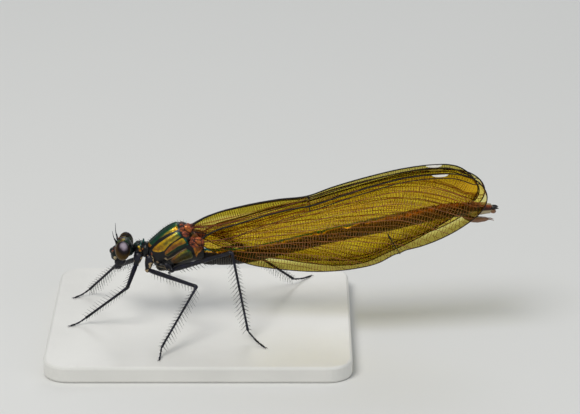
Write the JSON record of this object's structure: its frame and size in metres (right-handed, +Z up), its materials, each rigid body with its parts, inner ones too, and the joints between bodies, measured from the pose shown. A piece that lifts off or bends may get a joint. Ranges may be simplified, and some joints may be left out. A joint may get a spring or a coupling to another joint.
{
  "type": "damselfly",
  "caption": "Life-size still model of a resting damselfly with folded brown wings and metallic green body, on a flat pale base.",
  "frame": {"origin": "centre of the underside of the flat base", "axes": "+Z up, +X from the insect's head towards its tail, the insect's left side towards -Y"},
  "size_m": [0.0536, 0.032, 0.0215],
  "materials": {
    "metallic_green": "metallic green cuticle with gold bands",
    "metallic_gold": "metallic gold and green cuticle with black sutures",
    "black_chitin": "black cuticle with a faint blue sheen",
    "brown_eye": "dark brown compound eye, paler above",
    "brown_wing": "translucent golden brown membrane with red-brown veins",
    "copper_chitin": "copper brown cuticle with dark stripes",
    "pale_acrylic": "pale satin acrylic"
  },
  "bodies": {
    "root": {"head": "metallic_green", "left_eye": "brown_eye", "right_eye": "brown_eye", "left_antenna": "black_chitin", "right_antenna": "black_chitin", "mouthparts": "black_chitin", "prothorax": "metallic_green", "thorax": "metallic_gold", "left_forewing": "brown_wing", "left_hindwing": "brown_wing", "right_forewing": "brown_wing", "right_hindwing": "brown_wing", "abdomen_1_2": "metallic_green", "abdomen_3_4": "metallic_green", "abdomen_5_6": "copper_chitin", "abdomen_7_8": "copper_chitin", "abdomen_9_10": "copper_chitin", "left_cercus": "black_chitin", "right_cercus": "black_chitin", "ovipositor": "copper_chitin", "left_fore_femur": "black_chitin", "left_fore_tibia": "black_chitin", "left_fore_tarsus": "black_chitin", "right_fore_femur": "black_chitin", "right_fore_tibia": "black_chitin", "right_fore_tarsus": "black_chitin", "left_mid_femur": "black_chitin", "left_mid_tibia": "black_chitin", "left_mid_tarsus": "black_chitin", "right_mid_femur": "black_chitin", "right_mid_tibia": "black_chitin", "right_mid_tarsus": "black_chitin", "left_hind_femur": "black_chitin", "left_hind_tibia": "black_chitin", "left_hind_tarsus": "black_chitin", "right_hind_femur": "black_chitin", "right_hind_tibia": "black_chitin", "right_hind_tarsus": "black_chitin", "stand_base": "pale_acrylic"}
  },
  "joints": []
}
